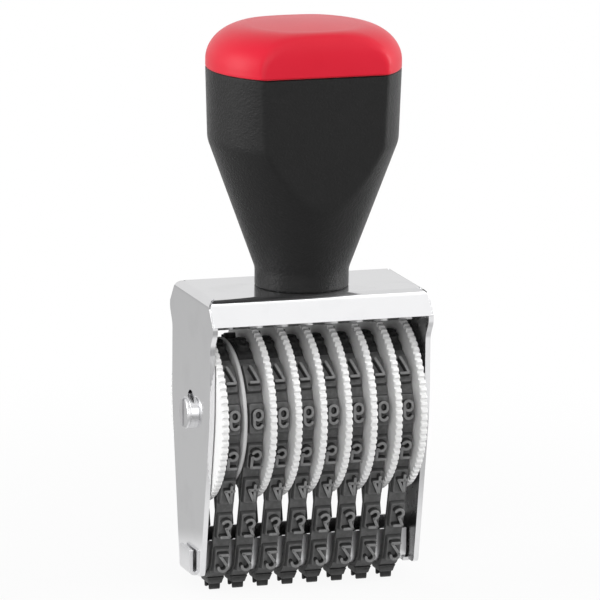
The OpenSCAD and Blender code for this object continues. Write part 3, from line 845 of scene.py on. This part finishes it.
for side, node in ((-1, "axle_screw_left"), (1, "axle_screw_right")):
    low, high = box_mm(node)
    slotted_screw(node, [side * FRAME_HIGH[0], 0, AXLE_Z], [[0, 1, 0], [0, 0, 1], [side, 0, 0]],
                  SCREW_R, high[0] - low[0] - HEAD_H, high[1], HEAD_H, satin)
low, high = box_mm("handle_screw")
slotted_screw("handle_screw", [0, 0, low[2] + HANDLE_HEAD_H], [[0, 1, 0], [1, 0, 0], [0, 0, -1]],
              HANDLE_SCREW_R, high[2] - low[2] - HANDLE_HEAD_H, high[1], HANDLE_HEAD_H, steel)


def handle_washer():
    """The same kind of ring, upright: (r cos a, r sin a, z)."""
    low, high = box_mm("handle_washer")
    profile = ring_profile(low[2], high[2], WASHER_BORE_R, high[0], WASHER_EDGE)
    z, r = profile.T[:, :, None]
    angle = around(96)
    return grid(r * np.cos(angle), r * np.sin(angle), z, True, True)


piece("handle_washer_turned", [handle_washer()], steel, ["handle_washer"])
print("screws: two on the axle, one under the handle")

# %% [markdown]
# ## Thumbwheels
# A wheel is turned about the axle, but its rim radius also depends on the angle: round-edged teeth with
# open gaps. Each row of the profile has its own greatest radius, so a row near a face cuts the teeth lower,
# which is the chamfer that makes each tooth look like a small block.

# %% Thumbwheels
TEETH = 76
DISC_R = (WHEEL_HIGH[2] - WHEEL_LOW[2]) / 2
DISC_T = 1.25
TOOTH_H = 0.7
TOOTH_TIP = 0.4
TOOTH_GAP = 0.26
TOOTH_CHAMFER = 0.2
DRUM_R = 11.3
DRUM_LEN = 3.65
WHEEL_STEP = 4.0
TOOTH_AT = np.array([-0.5, -0.4, -0.36, -0.31, -0.26, -0.21, -0.12, 0.0, 0.12, 0.21, 0.26, 0.31, 0.36, 0.4])


def thumbwheel(k):
    """A row (x, greatest radius R) is cut by the teeth: r = min(R, DISC_R - TOOTH_H * (1 - u^2 (3 - 2u))).

    There u goes from 0 in a gap to 1 on a tooth.
    """
    low, high = box_mm(f"thumbwheel_{k}")
    angle = ((np.arange(TEETH)[:, None] + TOOTH_AT) / TEETH * 2 * np.pi).ravel()
    up = np.clip(((1 - TOOTH_GAP) / 2 - np.abs(TOOTH_AT)) / ((1 - TOOTH_GAP - TOOTH_TIP) / 2), 0, 1)
    tooth = np.tile(DISC_R - TOOTH_H * (1 - up * up * (3 - 2 * up)), TEETH)
    face_r, end = DISC_R - TOOTH_CHAMFER, DISC_T + DRUM_LEN
    disc = [[0, face_r], [TOOTH_CHAMFER, DISC_R], [DISC_T - TOOTH_CHAMFER, DISC_R], [DISC_T, face_r]]
    drum = [[DISC_T, DRUM_R], [end, DRUM_R], [end, BORE_R]]
    rim = rounded([[0, BORE_R], *disc, *drum], [0.1, 0.08, 0.08, 0.1, 0.3, 0.2], 3)
    x, r = subdivide(rim, WHEEL_STEP).T[:, :, None]
    x = low[0] + x if k == 1 else high[0] - x
    r = np.minimum(r, tooth)
    return grid(x, r * np.cos(angle), AXLE_Z + r * np.sin(angle), True, True)


for k in range(1, BANDS + 1):
    piece(f"thumbwheel_{k}_moulded", [thumbwheel(k)], white_plastic, [f"thumbwheel_{k}"],
          body=f"wheel_{k}")
print(f"wheels: {TEETH} teeth on {2 * DISC_R:.1f} mm discs")

# %% [markdown]
# ## Number bands
# A band is easiest to think of lying flat: x across it, s along it, and h above its middle. `wrap` then
# carries flat points round the loop, whose side view is a flat under the foot, a tight turn, a straight run
# and an arc over the drum. Pads on the straight runs stay straight, and those on the drum bend with the
# strip.

# %% The loop that a band follows
BAND_LOW, BAND_HIGH = box_mm("number_band_1")
BAND_W = BAND_HIGH[0] - BAND_LOW[0]
BAND_T = 1.0
PAD_H = 1.0
TYPE_H = 1.2
PLACES = 15
BAND_BULGE = 1.2
BAND_GAP = 0.3
LOOP_R = DRUM_R + BAND_GAP + BAND_T / 2
TURN_R = FOOT_R + BAND_BULGE + BAND_T / 2
TURN_Y = FOOT_HIGH[1] - FOOT_R
TURN_Z = FOOT_LOW[2] + FOOT_R + BAND_BULGE
CENTRES = np.hypot(TURN_Y, AXLE_Z - TURN_Z)
RUN = np.sqrt(CENTRES ** 2 - (LOOP_R - TURN_R) ** 2)
TILT = np.arcsin((LOOP_R - TURN_R) / CENTRES) - np.arcsin(TURN_Y / CENTRES)
LOW_ARC = np.pi / 2 - TILT
TO_RUN = TURN_Y + TURN_R * LOW_ARC
TO_DRUM = TO_RUN + RUN
HALF_LOOP = TO_DRUM + LOOP_R * (np.pi - LOW_ARC)
PITCH = 2 * HALF_LOOP / PLACES
FIGURE_AT = [1, 2, 3, 4, 5, 6, 7, 8, 9, None, None, None, None, None, 0]


def loop(s):
    """Points, outward normals and forward directions in (y, z) at distances s from the printing place.

    The normal's angle a grows from 0 (down) through the turn, stays on the run and grows again on the drum.
    """
    s = (np.asarray(s, float) + HALF_LOOP) % (2 * HALF_LOOP) - HALF_LOOP
    side, d = np.where(s < 0, -1.0, 1.0), np.abs(s)
    a = np.clip((d - TURN_Y) / TURN_R, 0, LOW_ARC) + np.maximum(d - TO_DRUM, 0) / LOOP_R
    on_run = np.clip(d - TO_RUN, 0, RUN)
    depth = np.minimum(d, TURN_Y) + TURN_R * np.sin(a) + on_run * np.cos(LOW_ARC)
    height = TURN_Z - TURN_R * np.cos(a) + on_run * np.sin(LOW_ARC)
    over = d > TO_DRUM
    depth = np.where(over, LOOP_R * np.sin(a), depth)
    height = np.where(over, AXLE_Z - LOOP_R * np.cos(a), height)
    point = np.stack([-side * depth, height], axis=-1)
    normal = np.stack([-side * np.sin(a), -np.cos(a)], axis=-1)
    onward = np.stack([-np.cos(a), side * np.sin(a)], axis=-1)
    return point, normal, onward


def wrap(flat, x, s, bent):
    """Carries flat points (across, along, above) to point(s + along) + above * normal on the loop.

    Those that aren't bent keep the tangent at s instead: point(s) + along * onward + above * normal.
    """
    across, along, above = np.moveaxis(flat, -1, 0)
    if bent:
        point, normal, _ = loop(s + along)
    else:
        start, normal, onward = loop(s)
        point = start + along[..., None] * onward
    spot = point + above[..., None] * normal
    return np.concatenate([(x + across)[..., None], spot], axis=-1)


# %% [markdown]
# The figures are strokes. Each stroke is a short path, and its ridge is made of closed outlines round that
# path: wide at the foot, narrower at the top, and at last of no width at all, which closes it. The paths
# are written as straight lines and bows, in a box of the figure's size.

# %% Figures as strokes
FIGURE_W = 2.2
FIGURE_H = 4.0
STROKE = 0.55
FIG_X = (FIGURE_W - STROKE) / 2
FIG_Y = (FIGURE_H - STROKE) / 2
FIG_UP = FIG_Y - FIG_X


def line(*corners):
    """A path of straight parts, with points close enough together to bend round the drum."""
    return subdivide(np.array(corners, float), 0.5)


def bow(y, start, end):
    """An arc of the figure's own half width round (0, y), between two angles in degrees."""
    angle = np.radians(np.linspace(start, end, int(abs(end - start) / 18) + 2))
    return np.stack([FIG_X * np.cos(angle), y + FIG_X * np.sin(angle)], axis=1)


def strokes(n):
    """The strokes of a figure, upright in a box centred on the origin."""
    w, h, up = FIG_X, FIG_Y, FIG_UP
    hook = [w * np.cos(radians(30)), up - w / 2]
    bowl = -0.75 * up
    return {
        0: [np.concatenate([bow(up, 0, 180), bow(-up, 180, 360), [[w, up]]])],
        1: [line([0, -h], [0, h]), line([0, h], [-w, h - w]), line([-w, -h], [w, -h])],
        2: [np.concatenate([bow(up, 180, -30), [hook]]), line(hook, [-w, -h]), line([-w, -h], [w, -h])],
        3: [line([-w, h], [w, h]), line([w, h], [0, w - up]), bow(-up, 90, -150)],
        4: [line([w * 0.4, h], [-w, -h * 0.45]), line([-w, -h * 0.45], [w, -h * 0.45]),
            line([w * 0.4, h], [w * 0.4, -h])],
        5: [line([-w, h], [w, h]), line([-w, h], [-w, w * 0.6 - up]), bow(-up, 145, -150)],
        6: [np.concatenate([bow(-up, 180, 360), bow(bowl, 0, 180), [[-w, -up]]]),
            np.concatenate([[[-w, bowl]], bow(up, 180, 25)])],
        7: [line([-w, h], [w, h]), line([w, h], [-w * 0.35, -h])],
        8: [bow(up, -90, 270), bow(-up, -270, 90)],
        9: [np.concatenate([bow(up, 0, 180), bow(-bowl, 180, 360), [[w, up]]]),
            np.concatenate([[[w, -bowl]], bow(-up, 0, -155)])],
    }[n]


RIDGE = np.array([
    # half width, height above the pad, wear value (above 0: rubbed paler; below 0: old ink and painted shade)
    [0.0, -0.15, -0.9], [0.4, -0.15, -0.9], [0.35, 0.0, -0.9], [0.3, TYPE_H - 0.25, -0.5],
    [0.27, TYPE_H - 0.08, 0.7], [0.2, TYPE_H, 0.8], [0.0, TYPE_H, 0.7],
])


def raised(outlines, heights, wear_and_shade):
    """Outlines (rows, points, 2), each row's height as a third coordinate, and its ink, shade and rubbing at
    every point.
    """
    shape = outlines.shape[:2]
    rise = np.broadcast_to(heights[:, None], shape)
    return np.concatenate([outlines, rise[..., None]], axis=-1), np.broadcast_to(wear_and_shade[:, None], shape)


def ridge(path):
    """Closed outlines round a path, one for each row of RIDGE, at spine + half width * aside.

    Each goes forward on the path's left, round a half circle, back on its right and round another one.
    """
    onward = unit(np.gradient(path, axis=0))
    left = np.stack([-onward[:, 1], onward[:, 0]], axis=1)
    swing = np.radians(np.linspace(90, -90, 7))[1:-1, None]
    tip = np.cos(swing) * onward[-1] + np.sin(swing) * left[-1]
    tail = -np.cos(swing) * onward[0] - np.sin(swing) * left[0]
    first, last = np.repeat(path[:1], len(tail), axis=0), np.repeat(path[-1:], len(tip), axis=0)
    spine = np.concatenate([path, last, path[::-1], first])
    aside = np.concatenate([left, tip, -left[::-1], tail])
    flat = spine + RIDGE[:, :1, None] * aside
    return raised(flat, RIDGE[:, 1], RIDGE[:, 2])


# %% [markdown]
# A pad is a block with sloping sides and soft edges. Its outlines are rectangles with round corners, and
# the last one has no width, so the top closes along its middle line and can bend with the band.

# %% Pads and strip
STRIP_EDGE = 0.14
STRIP_WEAR = 0.12
PAD_LEN = 5.4
# The middle of a pad's top, where the figure stands, is darker: old ink and painted shade
PAD_MIDDLE_INK_AND_SHADE = -0.25
PAD_SLOPE = 0.22
PAD_LEVELS = np.array([
    # inset, height above the strip, corner radius, wear value (above 0: rubbed paler; below 0: old ink and
    # painted shade)
    [-0.12, -0.3, 0.2, -0.4], [0.0, 0.0, 0.25, -0.5], [0.2, PAD_H - 0.16, 0.4, -0.25],
    [0.24, PAD_H - 0.05, 0.42, 0.4], [0.36, PAD_H, 0.42, 0.35], [0.6, PAD_H, 0.42, 0.0],
])


def outline(half_x, half_y, corner):
    """A rectangle with round corners as a closed loop, from the middle of its right side."""
    ring = rounded([[half_x, 0], [half_x, half_y], [-half_x, half_y], [-half_x, -half_y], [half_x, -half_y],
                    [half_x, 0]], [corner] * 4, 4)
    long_side = np.linspace(0, 1, 5)[1:-1]
    up = [[half_x, (half_y - corner) * t] for t in long_side]
    down = [[half_x, -(half_y - corner) * t] for t in long_side[::-1]]
    left = [[-half_x, (half_y - corner) * t] for t in np.linspace(1, -1, 9)[1:-1]]
    return np.concatenate([ring[:1], up, ring[1:11], left, ring[11:-1], down])


def pad(length):
    """Outlines at the heights of PAD_LEVELS, with a first and a last one of no width that close it."""
    rows = np.array([outline(BAND_W / 2 - PAD_SLOPE / 2 - inset, length / 2 - inset, corner)
                     for inset, _, corner, _ in PAD_LEVELS])
    rows = np.concatenate([rows[:1] * [0, 1], rows, rows[-1:] * [0, 1]])
    heights = np.concatenate([PAD_LEVELS[:1, 1], PAD_LEVELS[:, 1], [PAD_H]])
    wear_and_shade = np.concatenate([PAD_LEVELS[:1, 3], PAD_LEVELS[:, 3], [PAD_MIDDLE_INK_AND_SHADE]])
    return raised(rows, heights, wear_and_shade)


def strip(x):
    """The plain strip: a rounded rectangle carried once round the loop."""
    across = ring_profile(-BAND_W / 2, BAND_W / 2, -BAND_T / 2, BAND_T / 2, STRIP_EDGE)
    s = np.linspace(0, 2 * HALF_LOOP, 180, endpoint=False)
    flat = np.stack(np.broadcast_arrays(across[:, 0], s[:, None], across[:, 1]), axis=-1)
    return patch(wrap(flat, x, 0.0, True), True, True)


# %% Number bands
DRUM_STRETCH = 1.08
BAND_SLIP = 0.4
# The figure 8 is painted nearly black all over: painted shade, where it stands under the frame's top
SHADED_FIGURE = 8
FIGURE_SHADE = -0.6


def number_band(k):
    """The strip, and at each place a pad and perhaps a figure, carried round the loop together.

    One figure, which stands in the shade under the frame's top, is painted dark all over as painted shade.
    """
    low, high = box_mm(f"number_band_{k}")
    x = (low[0] + high[0]) / 2
    patches = [strip(x)]
    wear_and_shade = [np.full(len(patches[0][0]), STRIP_WEAR)]
    for place, n in enumerate(FIGURE_AT):
        s = place * PITCH + BAND_SLIP
        on_drum = min(s, 2 * HALF_LOOP - s) > TO_DRUM
        base = LOOP_R + BAND_T / 2
        pad_scale = DRUM_STRETCH * LOOP_R / base if on_drum else 1.0
        type_scale = LOOP_R / (base + PAD_H + TYPE_H) if on_drum else 1.0
        forms = [(*pad(PAD_LEN), pad_scale, BAND_T / 2)]
        for path in strokes(n) if n is not None else []:
            forms.append((*ridge(path * [1, -1]), type_scale, BAND_T / 2 + PAD_H))
        for flat, tone_marks, scale, lift in forms:
            points = wrap(flat * [1, scale, 1] + [0, 0, lift], x, s, on_drum)
            patches.append(patch(points, wrap_columns=True))
            # That one figure's dark is painted shade
            wear_and_shade.append(np.minimum(tone_marks, FIGURE_SHADE).ravel() if n == SHADED_FIGURE else tone_marks.ravel())
    return patches, np.concatenate(wear_and_shade)


for k in range(1, BANDS + 1):
    patches, wear_and_shade = number_band(k)
    band = piece(f"number_band_{k}_rubber", patches, rubber, [f"number_band_{k}"], wear_and_shade=wear_and_shade)
faces = len(band.data.polygons)
print(f"bands: loop {2 * HALF_LOOP:.1f} mm, {PLACES} places {PITCH:.2f} mm apart, {faces} faces each")

# %% [markdown]
# ## Floor and light
# A plain pale sweep and four soft boxes: overhead, in front, on the left and on the right. Bright metal
# shows whatever stands round it, so mirror rays meet a floor and a world of their own brightness: light
# behind the machine, and a darker room in front of it. The camera sees both as white, apart from the shadow
# on the floor.

# %% Floor
FLOOR_GREY = 0.6
FLOOR_DIM = 0.35
FLOOR_ROWS = (0.0, 100.0, 600.0, 6000.0)
# Where its brightness changes, from and to: distances, X or Y in metres from the middle
BRIGHT_OUT = (0.035, 0.06)
DIM_OUT = (0.05, 0.08)
DIM_LEFT = (-0.14, -0.08)
DIM_REAR = (0.0, 0.05)
GLOW_LEFT = (-0.18, -0.13)
GLOW_RIGHT = (0.035, 0.055)
GLOW_REAR = (-0.05, -0.02)
SHADOW_OUT = (0.05, 0.2)


def sweep_floor():
    """A disc on which the machine stands, seen from above only. Its shadow fades to white further out.

    Mirror rays see it bright round the machine and on both sides at the front, half as bright elsewhere, and
    dim straight in front.
    """
    f = Finish("pale_floor", Roughness=1.0, Specular_IOR_Level=0.0)
    away = f.node("VectorMath", {"operation": "LENGTH"}, {0: f.place}, out="Value")
    back = f.node("SeparateXYZ", None, {0: f.place}, out="Y")
    across = f.node("SeparateXYZ", None, {0: f.place}, out="X")
    right_half = across.smooth(*GLOW_RIGHT)
    dim = away.smooth(*DIM_OUT) * (1 - back.smooth(*DIM_REAR)) * across.smooth(*DIM_LEFT) * (1 - right_half)
    glow = (1 - back.smooth(*GLOW_REAR)) * (right_half + 1 - across.smooth(*GLOW_LEFT))
    bright = 1.02 - 0.5 * away.smooth(*BRIGHT_OUT) + 0.5 * glow
    seen = f.node("LightPath", out="Is Camera Ray")
    mirrored = f.node("LightPath", out="Is Glossy Ray")
    white = f.node("Emission", None, {"Strength": seen + mirrored * bright})
    f.done(Base_Color=f.blend(dim, grey(FLOOR_GREY), grey(FLOOR_DIM)))
    mixed = f.node("MixShader", None, {
        0: seen * (0.92 + away.smooth(*SHADOW_OUT) * 0.08) + mirrored * (1 - dim) * 0.8,
        1: Wire(f, f.shader.outputs[0]), 2: white})
    one_sided = f.node("MixShader", None, {
        0: f.node("NewGeometry", out="Backfacing"), 1: mixed, 2: f.node("BsdfTransparent")})
    f.tree.links.new(one_sided.socket, f.tree.nodes["Material Output"].inputs["Surface"])
    angle = around(96)
    r = np.array(FLOOR_ROWS)[:, None]
    points, quads = grid(r * np.cos(angle), r * np.sin(angle), 0, wrap_columns=True)
    mesh = bpy.data.meshes.new("floor")
    mesh.from_pydata((points * MM).tolist(), [], quads.tolist())
    mesh.materials.append(f.material)
    floor = new_object("floor", mesh)


sweep_floor()


# %% World and lamps
WORLD_AS_LIGHT = 0.5
ROOM_BEHIND = 0.8
ROOM_IN_FRONT = 0.12
ROOM_STARTS = (-0.45, -0.15)  # Y of a ray's direction


def studio_world():
    """White to the camera, dimmer as a light. Mirror rays see it light behind the machine, dark in front."""
    world = bpy.data.worlds.new("studio")
    world.use_nodes = True
    bpy.context.scene.world = world
    f = Nodes(world.node_tree)
    direction = f.node("TexCoord", out="Generated")
    behind = f.node("SeparateXYZ", None, {0: direction}, out="Y").smooth(*ROOM_STARTS)
    mirrored = ROOM_IN_FRONT + behind * (ROOM_BEHIND - ROOM_IN_FRONT)
    level = f.node("LightPath", out="Is Glossy Ray") * (mirrored - WORLD_AS_LIGHT) + WORLD_AS_LIGHT
    level = f.node("LightPath", out="Is Camera Ray") * (1.0 - level) + level
    background = f.tree.nodes["Background"]
    f.feed(background.inputs["Color"], (1.0, 1.0, 1.0, 1.0))
    f.feed(background.inputs["Strength"], level)


def soft_box(name, position, target, size, power):
    """A rectangular lamp of so many watts at a position, turned towards a target; lengths in millimetres."""
    lamp = bpy.data.lights.new(name, "AREA")
    lamp.shape, lamp.size, lamp.size_y, lamp.energy = "RECTANGLE", size[0] * MM, size[1] * MM, power
    away = unit(np.array(position, float) - target)
    aside = unit(np.cross([0.0, 0.0, 1.0], away))
    aim(new_object(name, lamp), position, aside, np.cross(away, aside), away)


MIDDLE = np.array([0.0, 0.0, 55.0])
studio_world()
soft_box("overhead_box", [60, -260, 420], MIDDLE, [760, 540], 1.2)
soft_box("front_box", [-250, -660, 220], MIDDLE, [600, 500], 2.0)
soft_box("left_box", [-420, 60, 160], MIDDLE, [220, 360], 1.4)
soft_box("right_box", [420, -60, 160], MIDDLE, [160, 300], 1.2)
